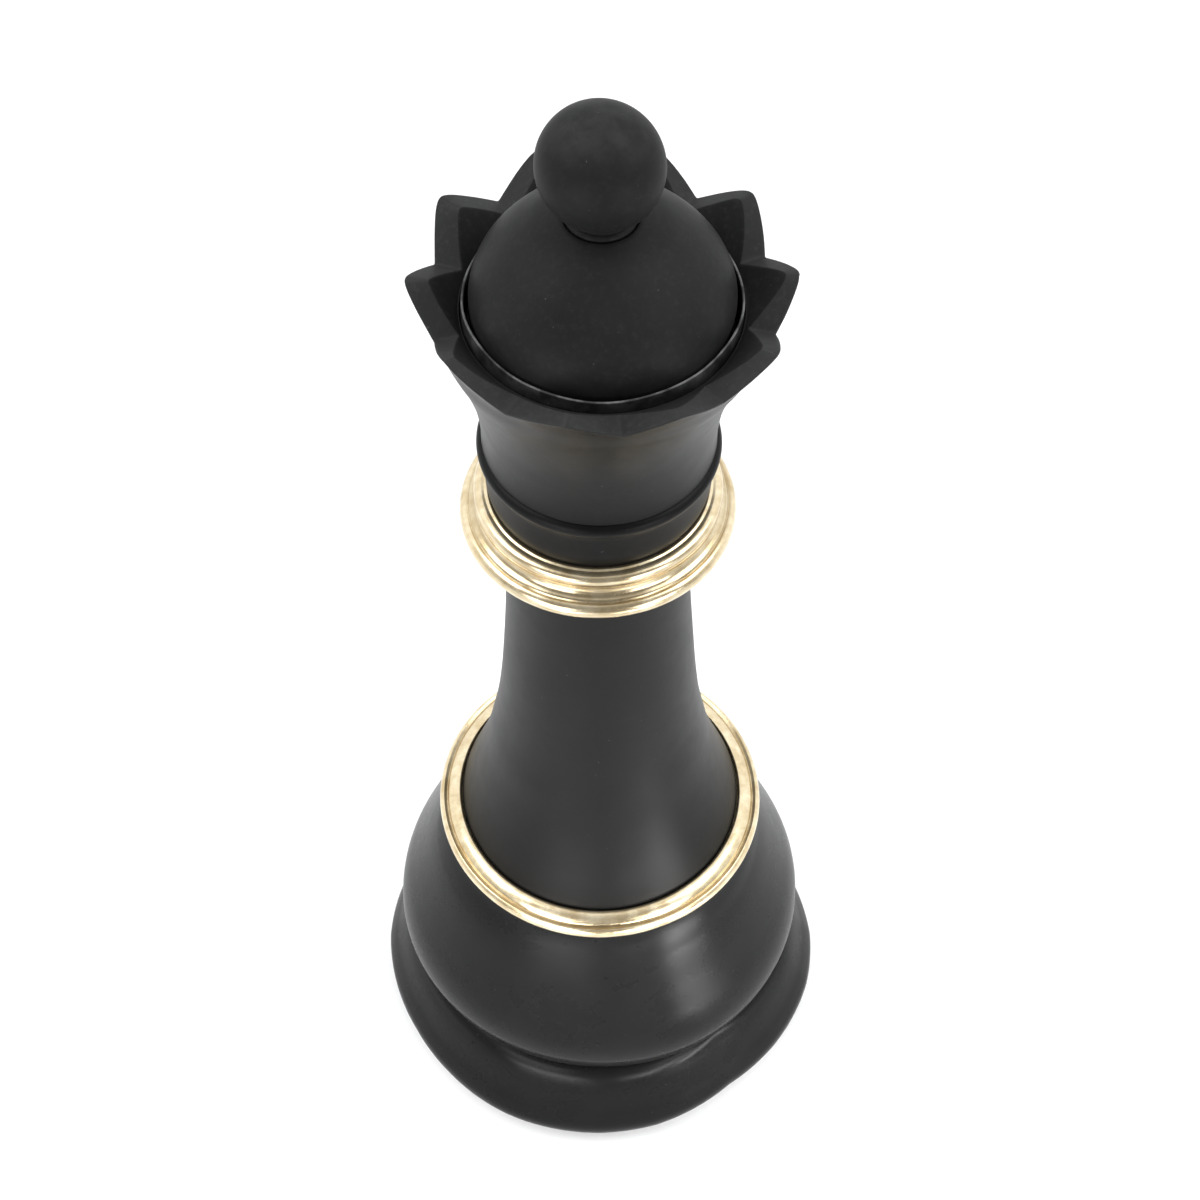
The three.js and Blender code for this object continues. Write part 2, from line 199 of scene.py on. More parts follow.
def turned_piece(node, outline, material, body, slot, columns=COLUMNS, ripple=None, cut=EDGE):
    """A turned section in fine mesh, which stands for the CAD node of the same name."""
    grid = turned_grid(soften(outline, cut), columns)
    if ripple:
        grid = ripple(grid)
    return show(node + "_fine", grid_mesh(node + "_fine", hand_cast(grid)), material, body, slot, node)


# ---- materials -----------------------------------------------------------------------


class Shader:
    """A material whose nodes are added one call at a time."""

    def __init__(self, name):
        self.material = bpy.data.materials.new(name)
        self.material.use_nodes = True
        self.tree = self.material.node_tree
        self.surface = self.tree.nodes["Principled BSDF"]
        self.place = self.add("ShaderNodeTexCoord").outputs["Object"]

    def add(self, kind, settings=None, **inputs):
        """Adds a node. Inputs are numbers, colours or sockets, by socket name with _ for a space."""
        node = self.tree.nodes.new(kind)
        for key, value in (settings or {}).items():
            setattr(node, key, value)
        for key, value in inputs.items():
            self.feed(node.inputs[key.replace("_", " ")], value)
        return node

    def feed(self, socket, value):
        """Links a socket to an input, or sets the input to a number or colour."""
        if isinstance(value, bpy.types.NodeSocket):
            self.tree.links.new(value, socket)
        else:
            socket.default_value = value

    def finish(self, **inputs):
        """Feeds the Principled shader and gives the material."""
        for key, value in inputs.items():
            self.feed(self.surface.inputs[key.replace("_", " ")], value)
        return self.material

    def noise(self, size_mm, detail=3.0, stretch=(1, 1, 1), roughness=0.55):
        """Noise from 0 to 1 with features of about size_mm."""
        moved = self.add("ShaderNodeMapping", Vector=self.place, Scale=stretch)
        scale = 1 / (size_mm * MM)
        made = self.add(
            "ShaderNodeTexNoise", Vector=moved.outputs[0], Scale=scale, Detail=detail, Roughness=roughness
        )
        return made.outputs["Fac"]

    def spread(self, value, low, high, start=0.0, end=1.0):
        """Maps start..end of a value to low..high, held at the ends."""
        made = self.add(
            "ShaderNodeMapRange", Value=value, From_Min=start, From_Max=end, To_Min=low, To_Max=high
        )
        return made.outputs["Result"]

    def maths(self, operation, a, b):
        """A sum of two values, such as ADD or MULTIPLY."""
        node = self.add("ShaderNodeMath", {"operation": operation})
        self.feed(node.inputs[0], a)
        self.feed(node.inputs[1], b)
        return node.outputs[0]

    def blend(self, share, first, second):
        """A colour between two."""
        node = self.add("ShaderNodeMix", {"data_type": "RGBA"})
        factor, colour_a, colour_b = node.inputs[0], node.inputs[6], node.inputs[7]
        self.feed(factor, share)
        self.feed(colour_a, first)
        self.feed(colour_b, second)
        return node.outputs[2]

    def bump(self, height, depth_mm, under=None):
        """A normal from a 0..1 height that is depth_mm deep."""
        node = self.add("ShaderNodeBump", Height=height, Strength=1.0, Distance=depth_mm * MM)
        if under is not None:
            self.tree.links.new(under, node.inputs["Normal"])
        return node.outputs[0]


def grey(value, warm=0.0):
    """A grey, or a slightly warm one."""
    return (value * (1 + warm), value, value * (1 - warm), 1)


def black_cast(name, tone, rough, grain_mm, shine, chalk=0.0, highlight_grey=0.0):
    """Black paint over cast resin: blotchy satin sheen, fine grain, faint chalky dust, pale specks.

    The tone is its grey, shine its specular level, chalk its share of dust and the last argument the grey
    of a painted highlight, laid where the mesh marks it.
    """
    s = Shader(name)
    blotch = s.noise(26, 4)
    patch = s.noise(7, 3)
    grain = s.noise(grain_mm, 2)
    dust = s.spread(s.noise(2.4, 5, roughness=0.7), 0, 1, 0.5, 0.78)
    base = s.blend(blotch, grey(tone * 0.6), grey(tone * 1.4))
    dusty = s.blend(s.maths("MULTIPLY", dust, chalk), base, grey(tone * 2.4, 0.02))
    specks = s.spread(s.noise(1.1, 0), 0, 1, 0.86, 0.90)
    colour = s.blend(s.maths("MULTIPLY", specks, 0.25), dusty, grey(0.16))
    # a painted highlight: a paler grey in blotches where the mesh marks ridges, rims and tops
    if highlight_grey:
        painted_highlight = s.add("ShaderNodeAttribute", {"attribute_name": "painted_highlight"}).outputs["Fac"]
        painted_highlight_share = s.maths("MULTIPLY", painted_highlight, s.spread(patch, 0.15, 0.6, 0.40, 0.62))
        colour = s.blend(painted_highlight_share, colour, grey(highlight_grey))
    uneven = s.maths("ADD", s.spread(blotch, rough - 0.05, rough + 0.05), s.spread(patch, -0.04, 0.04))
    wide = s.bump(blotch, 0.10)
    middle = s.bump(patch, 0.03, wide)
    fine = s.bump(grain, 0.018, middle)
    return s.finish(Base_Color=colour, Roughness=uneven, Normal=fine, Specular_IOR_Level=shine)


def gilt_paint():
    """Gold paint over cast resin: pale warm metal flake, glossy, a little uneven and thin in places, with
    painted shade in the bottoms of its grooves.
    """
    s = Shader("gilt_paint")
    cloud = s.noise(6, 3)
    flake = s.noise(0.5, 2)
    brush = s.noise(1.6, 3, (0.5, 0.5, 1.6))
    colour = s.blend(s.spread(cloud, 0, 1, 0.3, 0.7), (0.64, 0.500, 0.285, 1), (0.90, 0.775, 0.540, 1))
    thin = s.spread(s.noise(9, 5, roughness=0.7), 0, 1, 0.68, 0.80)
    groove = s.add("ShaderNodeAttribute", {"attribute_name": "groove"}).outputs["Fac"]
    # brown where the paint is thin, and painted shade at the bottoms of the grooves
    thin_paint_and_groove_shade = s.maths("MAXIMUM", s.maths("MULTIPLY", thin, 0.4), s.maths("MULTIPLY", groove, 0.55))
    colour = s.blend(thin_paint_and_groove_shade, colour, (0.27, 0.185, 0.075, 1))
    rough = s.maths("ADD", s.spread(cloud, 0.17, 0.27), s.spread(flake, -0.04, 0.04))
    wide = s.bump(cloud, 0.06)
    streak = s.bump(brush, 0.004, wide)
    fine = s.bump(flake, 0.005, streak)
    return s.finish(
        Base_Color=colour, Metallic=0.88, Roughness=rough, Normal=fine,
        Coat_Weight=0.35, Coat_Roughness=0.12,
    )


def felt():
    """Black felt: fine matted fibres."""
    s = Shader("pad_felt")
    fibres = s.noise(0.35, 4, (1, 1, 0.4))
    colour = s.blend(fibres, grey(0.006), grey(0.028))
    return s.finish(Base_Color=colour, Roughness=0.95, Normal=s.bump(fibres, 0.25), Sheen_Weight=0.3)


def board_wood():
    """Plain board: long grain across the disc."""
    s = Shader("board_wood")
    rings = s.noise(3.5, 4, (0.12, 1, 1))
    fibre = s.noise(0.5, 2, (0.06, 1, 1))
    grain = s.maths("MULTIPLY", rings, s.spread(fibre, 0.6, 1.2))
    colour = s.blend(grain, (0.16, 0.085, 0.04, 1), (0.52, 0.34, 0.19, 1))
    return s.finish(Base_Color=colour, Roughness=s.spread(fibre, 0.6, 0.85), Normal=s.bump(fibre, 0.08))


def zinc_steel():
    """Zinc-plated steel with a cloudy sheen."""
    s = Shader("zinc_steel")
    cloud = s.noise(2.5, 3)
    colour = s.blend(cloud, (0.42, 0.43, 0.45, 1), (0.62, 0.63, 0.64, 1))
    rough = s.spread(cloud, 0.28, 0.48)
    return s.finish(Base_Color=colour, Metallic=1.0, Roughness=rough, Normal=s.bump(cloud, 0.01))


def raw_iron():
    """Sand-cast iron with patches of rust."""
    s = Shader("ballast_iron")
    sand = s.noise(0.9, 4)
    rust = s.spread(s.noise(6, 4), 0, 1, 0.52, 0.7)
    colour = s.blend(rust, grey(0.07), (0.17, 0.075, 0.035, 1))
    rough = s.spread(sand, 0.6, 0.9)
    return s.finish(Base_Color=colour, Metallic=0.55, Roughness=rough, Normal=s.bump(sand, 0.2))


def seal_rubber():
    """Black rubber with a faint bloom."""
    s = Shader("seal_rubber")
    bloom = s.noise(1.5, 3)
    colour = s.blend(bloom, grey(0.012), grey(0.030))
    return s.finish(Base_Color=colour, Roughness=s.spread(bloom, 0.6, 0.8), Normal=s.bump(bloom, 0.03))


# crown, ball and lip get a paler grey as their last argument: a painted highlight, laid where their meshes
# mark it
BASE_BLACK = black_cast("black_base", 0.006, 0.28, 1.1, shine=0.12)
STEM_BLACK = black_cast("black_stem", 0.004, 0.40, 0.9, shine=0.142)
BAND_BLACK = black_cast("black_band", 0.004, 0.40, 0.8, shine=0.12, chalk=0.3)
# the coronet's wall, cut top and bowl: one black paint with painted light and shade, darkest on the wall
# and lightest on the top
WALL_BLACK = black_cast("black_wall", 0.004, 0.38, 0.8, shine=0.148, chalk=0.3)
CROWN_BLACK = black_cast("black_crown", 0.033, 0.55, 0.7, shine=0.07, chalk=0.3, highlight_grey=0.05)
BOWL_BLACK = black_cast("black_bowl", 0.021, 0.62, 0.7, shine=0.05, chalk=0.4)
DOME_BLACK = black_cast("black_dome", 0.017, 0.48, 0.7, shine=0.072, chalk=0.3)
BALL_BLACK = black_cast("black_ball", 0.016, 0.48, 0.7, shine=0.072, chalk=0.3, highlight_grey=0.042)
LIP_BLACK = black_cast("black_lip", 0.010, 0.6, 0.6, shine=0.08, highlight_grey=0.34)
GILT = gilt_paint()
CARRIED_OVER = {
    "base_board": board_wood(),
    "ballast_ring": raw_iron(),
    "cap_seal": seal_rubber(),
}
STEEL = zinc_steel()


# ---- base ----------------------------------------------------------------------------
BOARD_FIT = 0.4
SPIGOT_RADIUS = 54
SPIGOT_WALL = 6
DECK_HOLE_RADIUS = 28
DECK_THICKNESS = 8
CAVITY_RADIUS = 71
SHOULDER_RADIUS = 76.2  # the bulb stands inside this, and the plinth's dents stop here

# dents, as [degrees round from the front, mm off the mean radius]
PLINTH_DENTS = [
    [-110, -2.2], [-90, -0.8], [-60, -1.4], [-45, -1.0], [-25, 0.3], [0, 0.7], [15, 0.1], [38, -2.8],
    [55, -1.2], [75, 0], [90, -0.4], [108, -3.0], [180, -1.5],
]


def dented(grid):
    """The outline of the plinth: its outer face stands in here and there."""
    turns, depths = zip(*PLINTH_DENTS)
    angle = np.degrees(np.arctan2(grid[..., 0], -grid[..., 1]))
    radius = np.hypot(grid[..., 0], grid[..., 1])
    share = np.clip((radius - SHOULDER_RADIUS) / 6, 0, 1)
    scale = 1 + share * np.interp(angle, turns, depths, period=360) / np.maximum(radius, 1)
    return np.stack([grid[..., 0] * scale, grid[..., 1] * scale, grid[..., 2]], -1)


def make_base():
    """Felt pad, and the rolled plinth with its rebate for the board, cavity, deck and spigot."""
    pad_top = top("base_pad")
    pad_reach = reach("base_pad")
    edge = arc(pad_reach - pad_top / 2, pad_top / 2, pad_top / 2, -90, 90, 10)
    turned_piece("base_pad", [[0, 0], *edge, [0, pad_top]], felt(), QUEEN, "pad_felt")

    low, high = foot("base_plinth"), top("base_plinth")
    seat = foot("bulb_body") - GAP
    board_side, board_top = reach("base_board"), top("base_board")
    rolled = curve([
        [86.6, low], [90.4, low + 2.6], [92.3, 8.4], [92.2, 12.4], [90.3, 16.6], [88.0, 20.8],
        [86.0, 25.0], [84.3, 28.8], [82.6, 32.2], [80.8, 35.0], [79.1, 36.7], [77.8, 37.6],
        [SHOULDER_RADIUS, seat],
    ])
    inside, deck = SPIGOT_RADIUS - SPIGOT_WALL, seat - DECK_THICKNESS
    outline = [
        [CAVITY_RADIUS, board_top + GAP], [board_side + BOARD_FIT, board_top + GAP],
        [board_side + BOARD_FIT, low], *rolled, [SPIGOT_RADIUS, seat], [SPIGOT_RADIUS, high],
        [inside, high], [inside, seat], [DECK_HOLE_RADIUS, seat], [DECK_HOLE_RADIUS, deck],
        [CAVITY_RADIUS, deck],
    ]
    turned_piece("base_plinth", outline, BASE_BLACK, QUEEN, "black_cast", ripple=dented)


def make_bulb():
    """The round body under the lower ring, hollow inside."""
    low, high = foot("bulb_body"), top("bulb_body")
    flank = curve([
        [75.4, low], [76.2, low + 0.5], [80.6, 46], [83.0, 54], [reach("bulb_body"), 58], [82.4, 64],
        [80.2, 71], [76.4, 80], [72.1, 90], [67.9, 100], [63.9, 109], [60.8, 115.5], [59.5, 120],
        [60.3, high],
    ])
    outline = [
        [54.4, low], *flank, [44, high], [44, high - 7], [54, high - 14], [72, 70], [76, 56],
        [71, low + 7], [54.4, low + 7],
    ]
    turned_piece("bulb_body", outline, BASE_BLACK, QUEEN, "black_cast")


# ---- gilt rings ----------------------------------------------------------------------
RING_SEAT = 132  # the stem stands on this height of the lower ring
STEM_FOOT_HOLE = 53.4
TENON_HOLE = 29.4  # bore of the sections that fit over the stem's tenon


def add_grooves(piece, bottoms):
    """Marks how near each point is to the bottom of a groove, given as [radius, height], where painted
    shade darkens the gold.
    """
    points = np.array([v.co for v in piece.data.vertices]) / MM
    r, z = np.hypot(points[:, 0], points[:, 1]), points[:, 2]
    apart = np.min([np.hypot(r - a, z - b) for a, b in bottoms], axis=0)
    add_attribute(piece.data, "groove", np.exp(-((apart / 0.9) ** 2)))


def uneven(amount, seed):
    """Gives a ripple that moves a ring's points (mm) by an unevenness of waves round the ring."""
    picks = np.random.default_rng(seed)
    terms = [
        (n, picks.uniform(0, 6.28), picks.uniform(0, 6.28), amount / (1 + n / 9))
        for n in range(3, 34, 2)
    ]  # count of waves round the ring, two phases and depth

    def ripple(grid):
        angle = np.arctan2(grid[..., 1], grid[..., 0])
        radius = np.hypot(grid[..., 0], grid[..., 1])
        push, lift = np.zeros_like(angle), np.zeros_like(angle)
        for count, phase, other, size in terms:
            twist = 0.25 * grid[..., 2]
            push += size * np.sin(count * angle + phase + twist)
            lift += 0.5 * size * np.sin(count * angle + other - twist)
        scale = 1 + push / radius
        return np.stack([grid[..., 0] * scale, grid[..., 1] * scale, grid[..., 2] + lift], -1)

    return ripple


def make_lower_ring():
    """The gilt ring on the bulb's shoulder: a full inner bead and a smaller outer one."""
    low, seat = foot("lower_gilt_ring"), RING_SEAT
    outer = arc(61.2, low + 2.1, 3.1, -75, 62, 20)
    inner = curve([
        [61.2, seat - 1.4], [60.6, seat - 0.4], [59.6, seat + 0.5], [58.4, seat + 1.3], [57.2, seat + 1.8],
        [56.2, seat + 1.9], [55.6, seat + 1.4], [55.4, seat],
    ])
    outline = [[STEM_FOOT_HOLE, low], [60.5, low], *outer, *inner, [STEM_FOOT_HOLE, seat]]
    ring = turned_piece(
        "lower_gilt_ring", outline, GILT, QUEEN, "gilt_cast", RING_COLUMNS, uneven(0.02, 3), cut=0.25
    )
    add_grooves(ring, [[61.6, 131.0]])


def make_collar():
    """The gilt collar under the neck: bead, cove with two fine ridges, and a large lower bead."""
    low, high = foot("upper_gilt_collar"), top("upper_gilt_collar")
    big = reach("upper_gilt_collar")
    lower_bead = arc(big - 3.5, low + 3.8, 3.5, -100, 68, 24)
    cove = curve([
        [44.0, 320.4], [43.6, 321.2], [42.4, 321.8], [41.5, 323.0], [41.1, 324.6], [41.4, 325.9],
        [41.9, 326.4],
    ])
    upper_bead = arc(39.3, high - 2.5, 2.6, -28, 92, 20)
    seam = [[38.3, high], [37.7, high + 0.45], [37.1, high + 0.45], [36.9, high]]
    outline = [[TENON_HOLE, low], [38, low], *lower_bead, *cove, *upper_bead, *seam, [TENON_HOLE, high]]
    collar = turned_piece(
        "upper_gilt_collar", outline, GILT, QUEEN, "gilt_cast", RING_COLUMNS, uneven(0.02, 8), cut=0.2
    )
    add_grooves(collar, [[43.9, 320.7], [42.6, 321.8], [41.3, 323.6], [41.8, 326.2]])


# ---- stem and neck -------------------------------------------------------------------


def make_stem():
    """The long concave stem, with its spigot below and tenon above."""
    shoulder = foot("upper_gilt_collar") - GAP
    seat = RING_SEAT + GAP
    low = foot("stem")
    flank = curve([
        [55.1, seat], [54.8, seat + 1.8], [52.8, 140], [47.6, 155], [43.5, 170], [40.7, 185], [38.2, 200],
        [36.0, 220], [34.4, 240], [33.2, 260], [32.5, 280], [32.2, 295], [32.2, shoulder],
    ])
    outline = [
        [46, low], [53, low], [53, seat], *flank, [29, shoulder], [29, top("stem")], [22, top("stem")],
        [22, 300], [30, 210], [40, 155],
    ]
    turned_piece("stem", outline, STEM_BLACK, QUEEN, "black_cast")


def make_neck():
    """The plain band above the collar and the bead that the coronet stands on."""
    low, high = foot("neck_band"), top("neck_band")
    band = curve([
        [36.7, low], [36.9, low + 1.2], [37.4, low + 3.0], [37.8, low + 5.5], [37.8, high - 6],
        [37.9, high - 2.2], [38.3, high - 0.8], [38.4, high],
    ])
    turned_piece(
        "neck_band", [[TENON_HOLE, low], *band, [TENON_HOLE, high]], BAND_BLACK, QUEEN, "black_cast"
    )
    low, high = foot("neck_bead"), top("neck_bead")
    half = (high - low) / 2
    rim = arc(reach("neck_bead") - half, low + half, half, -84, 84, 22)
    outline = [[TENON_HOLE, low], [36, low], *rim, [36, high], [TENON_HOLE, high]]
    turned_piece("neck_bead", outline, BAND_BLACK, QUEEN, "black_cast")


# ---- coronet -------------------------------------------------------------------------
FIRST_TIP = -250.3  # degrees from +X
PITCH = 36
TIP_SHIFT = [0, 0, -1.5, -2.6, 6, 3.4, 4.4, 0.6, 1.4, 0.3]  # degrees off an even pitch
TIP_GROWTH = [0.8, 2.4, 1.0, -1.9, 0, 0, 1.2, 1.0, 0.8, 0.5]  # mm that each point stands off the mean
TIP_TURNS = [FIRST_TIP + PITCH * i + shift for i, shift in enumerate(TIP_SHIFT)]
TIP_RADIUS = 60.6
TIP_HEIGHT = 428.9
NOTCH_HEIGHT = 417.3
LEDGE_RADIUS = 44.5  # where the bowl's slope meets the ledge round the socket
LEDGE_HEIGHT = 416.2
BOWL_SLOPE = 1.1
SOCKET_RADIUS = 44
HALF_COLUMNS = 18  # columns from a point to the notch beside it
WALL_FOOT = 355.2
WALL = np.array(curve([
    [38.7, WALL_FOOT], [38.7, 362], [39.3, 370], [40.8, 380], [43.3, 390], [46.8, 400], [50.3, 408],
    [53.9, 417], [60.6, 428.9], [62.4, 432],
]))
RIM_EDGE = 1.1  # how far the outer edge of the cut top is rounded


def coronet_angles():
    """Column angles, and for each the angles of its point and notch, in radians."""
    tips = [math.radians(turn) for turn in TIP_TURNS]
    tips.append(tips[0] + 2 * math.pi)
    rows = []
    share = np.arange(HALF_COLUMNS) / HALF_COLUMNS
    share = share - 0.12 * np.sin(2 * math.pi * share)
    for left, right in zip(tips[:-1], tips[1:]):
        notch = (left + right) / 2
        rows += [(left + (notch - left) * t, left, notch) for t in share]
        rows += [(notch + (right - notch) * t, right, notch) for t in share]
    return np.array(rows)


def cut_height(r, angles):
    """Height of the cut crown surface at radius r in each column: V cuts with softened creases."""
    angle, tip, notch = angles.T
    half = np.abs(notch - tip)
    slope = (TIP_HEIGHT - NOTCH_HEIGHT) / (TIP_RADIUS * np.sin(half))
    from_notch = r * np.abs(np.sin(angle - notch))
    from_tip = r * np.abs(np.sin(angle - tip))
    rounding = 0.5 + 2.2 * np.clip((r - 48) / 11, 0, 1) ** 2
    height = NOTCH_HEIGHT + slope * np.hypot(from_notch, 0.35)
    return height - slope * (np.hypot(from_tip, rounding) - from_tip)


def wall_radius(z, angle):
    """Radius of the outer wall at a height, with each point's own reach."""
    growth = np.interp(np.degrees(angle), TIP_TURNS, TIP_GROWTH, period=360)
    return np.interp(z, WALL[:, 1], WALL[:, 0]) + growth * np.clip((z - 404) / 22, 0, 1)


def bowl_radius(z, angle):
    """Radius of the bowl's slope at a height. The crown is thinner on one side and wavers."""
    waver = 0.35 * np.sin(5 * angle + 1) + 0.25 * np.sin(11 * angle + 2)
    thin_side = 0.9 * np.cos(angle - math.radians(15))
    rise = np.maximum(z - LEDGE_HEIGHT, 0)
    return LEDGE_RADIUS + rise * (1 / BOWL_SLOPE + (thin_side + waver) / 10)


def meet(radius_at, angles):
    """Radius and height where the cut surface meets a turned surface, for each column."""
    z = np.full(len(angles), 424.0)  # a first guess, which each turn of the loop improves
    for _ in range(40):
        z = cut_height(radius_at(z, angles[:, 0]), angles)
    return radius_at(z, angles[:, 0]), z


def bend(start, corner, end, steps=4):
    """Rows round a corner. A row is the radii and the heights of all columns."""
    return [
        [(1 - t) ** 2 * a + 2 * t * (1 - t) * b + t * t * c for a, b, c in zip(start, corner, end)]
        for t in np.linspace(0, 1, steps + 1)
    ]


def crown_rows(angles):
    """Rows up the wall, over the cut top and down the bowl to the ledge."""
    angle = angles[:, 0]
    rim_r, rim_z = meet(wall_radius, angles)
    lip_r, lip_z = meet(bowl_radius, angles)
    side_z = rim_z - RIM_EDGE
    heights = [WALL_FOOT + (side_z - WALL_FOOT) * t for t in np.linspace(0, 1, 44)[:-1]]
    rows = [[wall_radius(z, angle), z] for z in heights]

    inset = np.minimum(RIM_EDGE, 0.3 * (rim_r - lip_r))
    outer, inner = rim_r - inset, lip_r + 0.5 * inset
    rows += bend([wall_radius(side_z, angle), side_z], [rim_r, rim_z], [outer, cut_height(outer, angles)])
    radii = [outer + (inner - outer) * t for t in np.linspace(0, 1, 12)[1:-1]]
    rows += [[r, cut_height(r, angles)] for r in radii]

    ledge = np.minimum(LEDGE_HEIGHT, lip_z - 0.02)
    slope_z = lip_z - np.minimum(0.5, 0.3 * (lip_z - ledge))
    rows += bend([inner, cut_height(inner, angles)], [lip_r, lip_z], [bowl_radius(slope_z, angle), slope_z])
    heights = [slope_z + (ledge - slope_z) * t for t in np.linspace(0, 1, 10)[1:]]
    rows += [[bowl_radius(z, angle), z] for z in heights]
    flat = np.ones_like(angle)
    return rows + [[(SOCKET_RADIUS + 0.3) * flat, ledge - 0.02], [SOCKET_RADIUS * flat, ledge - 0.3]]


def inside_rows(count):
    """Rows down the socket and the nut well, out under the floor and back to the foot of the wall."""
    inside = [
        [44, 410], [44, 399.7], [16, 399.7], [16, 378], [5, 378], [5, 343.3], [29, 343.3], [29, WALL_FOOT],
    ]
    return [[np.full(count, r), np.full(count, z)] for r, z in [*soften(inside, 0.2)[:-1], inside[-1]]]


def make_coronet():
    """The flared ten-pointed coronet, in one black paint given three greys by which way its faces turn:
    lightest on the cut top, darker in the bowl and darkest on the wall, as painted light and shade.
    """
    angles = coronet_angles()
    turn = angles[:, 0]
    rows = crown_rows(angles) + inside_rows(len(angles))
    grid = np.stack([np.stack([r * np.cos(turn), r * np.sin(turn), z], -1) for r, z in rows], 1)
    mesh = grid_mesh("coronet_fine", hand_cast(grid))
    add_ridge_highlight(mesh, angles)
    show("coronet_fine", mesh, CROWN_BLACK, QUEEN, "black_cast", "coronet")
    mesh.materials.append(WALL_BLACK)
    mesh.materials.append(BOWL_BLACK)
    # each face takes the grey painted for its side: the wall darkest, the bowl and the socket between, the
    # cut top lightest
    for face in mesh.polygons:  # the wall faces outward, and the bowl and the socket face inward
        outward = (face.center.x * face.normal.x + face.center.y * face.normal.y) / face.center.xy.length
        if outward > 0 and face.normal.z < 0.1:
            face.material_index = 1
        elif outward < -0.3:
            face.material_index = 2


def add_ridge_highlight(mesh, angles):
    """Marks the crown's ridges and notch lines for a painted highlight, paler along them."""
    points = np.array([v.co for v in mesh.vertices]) / MM
    r = np.hypot(points[:, 0], points[:, 1])
    angle = np.arctan2(points[:, 1], points[:, 0])
    lines = np.unique(angles[:, 1:].ravel())
    apart = np.abs(np.sin((angle[:, None] - lines[None]) / 2)).min(1) * 2 * r
    crown = np.clip((points[:, 2] - 412) / 6, 0, 1) * (r > SOCKET_RADIUS + 0.4)
    add_attribute(mesh, "painted_highlight", np.exp(-((apart / 0.7) ** 2)) * crown)


ABOVE_SEAL = 412  # from this height up the socket ring is clear of the cap's seal
SOCKET_RING_WALL = 0.8


def make_socket_ring():
    """The thin ring that shows as a pale line round the dome."""
    low, high = foot("socket_ring"), top("socket_ring")
    outer, inner = reach("socket_ring"), reach("socket_ring") - SOCKET_RING_WALL
    round_off = SOCKET_RING_WALL / 2
    rim = arc((outer + inner) / 2, high - round_off, round_off, 0, 180, 12)

    def pinched(grid):
        """Stands in towards the dome here and there, above the seal."""
        angle = np.arctan2(grid[..., 1], grid[..., 0])
        depth = 0.42 * (1 - np.cos(4 * angle + 0.2)) + 0.12 * (1 + np.sin(9 * angle))
        share = np.clip((grid[..., 2] - ABOVE_SEAL) / (high - SOCKET_RING_WALL - ABOVE_SEAL), 0, 1)
        scale = 1 - share * depth / np.hypot(grid[..., 0], grid[..., 1])
        return np.stack([grid[..., 0] * scale, grid[..., 1] * scale, grid[..., 2]], -1)

    outline = [[inner, low], [outer, low], [outer, ABOVE_SEAL], *rim, [inner, ABOVE_SEAL]]
    ring = turned_piece(
        "socket_ring", outline, LIP_BLACK, QUEEN, "black_cast", ripple=pinched, cut=0.1
    )
    # the top of the rim is marked for a painted highlight, the pale line round the dome
    heights = np.array([v.co.z for v in ring.data.vertices]) / MM
    add_attribute(ring.data, "painted_highlight", np.clip((heights - high + 0.5) / 0.3, 0, 1))


# ---- lift-out cap --------------------------------------------------------------------
SCREW_HOLE = 3.3
BALL_HOLE_TOP = 468.6
BEAD_RECESS = 11.6  # radius of the dome's recess for the finial bead
BEAD_SEAT = 453
HEAD_SEAT = 443  # ceiling of the dome, where the finial screw's head bears


def make_dome():
    """The ogee dome with its plug, seal groove and hollow inside."""
    low, high = foot("crown_dome"), top("crown_dome")
    plug = 40.6
    groove_low, groove_high = 404.5, 409.5
    ogive = curve([
        [plug, 411], [40.7, 414], [41.1, 418], [reach("crown_dome"), 421], [40.9, 425], [39.3, 430],
        [36.5, 435], [32.7, 440], [27.9, 445], [21.9, 450], [17.2, 452.6], [14.4, 453.9], [12.2, high],
    ])
    outline = [
        [34, low], [plug, low], [plug, groove_low], [plug - 2.2, groove_low], [plug - 2.2, groove_high],
        [plug, groove_high], *ogive, [BEAD_RECESS, high], [BEAD_RECESS, BEAD_SEAT], [SCREW_HOLE, BEAD_SEAT],
        [SCREW_HOLE, HEAD_SEAT], [16, HEAD_SEAT], [26, 436], [33, 424],
    ]
    turned_piece("crown_dome", outline, DOME_BLACK, CAP, "black_cast")


def make_finial():
    """The small bead and the ball on top."""
    low, high = foot("finial_bead"), top("finial_bead")
    rim = arc(reach("finial_bead") - 1.7, high - 1.7, 1.7, -90, 90, 14)
    outline = [[SCREW_HOLE, low], *rim, [SCREW_HOLE, high]]
    turned_piece("finial_bead", outline, DOME_BLACK, CAP, "black_cast", BEAD_COLUMNS)
    low, high = foot("finial_ball"), top("finial_ball")
    radius = reach("finial_ball")
    centre = high - radius - 0.4
    neck = curve([[10.6, low], [10.7, low + 0.9], [11.7, low + 2.5], [13.3, low + 4.1]])
    sphere = arc(0, centre, radius, -37, 90, 56)
    outline = [
        [SCREW_HOLE, low], *neck, *sphere[:-1], [0, centre + radius], [0, BALL_HOLE_TOP],
        [SCREW_HOLE, BALL_HOLE_TOP],
    ]
    ball = turned_piece("finial_ball", outline, BALL_BLACK, CAP, "black_cast", BALL_COLUMNS)
    # the ball is paler towards its top: a painted highlight
    rise = (np.array([v.co.z for v in ball.data.vertices]) / MM - centre) / radius
    add_attribute(ball.data, "painted_highlight", np.clip((rise - 0.55) / 0.35, 0, 1))


# ---- carried-over CAD nodes ----------------------------------------------------------


def paint_cad_nodes():
    """Gives each CAD node that stays its own material."""
    for name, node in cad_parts.items():
        if node.hide_render:
            continue
        node.data.materials.clear()
        node.data.materials.append(CARRIED_OVER.get(name, STEEL))


# ---- stage, lights and camera --------------------------------------------------------
FLOOR_SIZE = 8.0


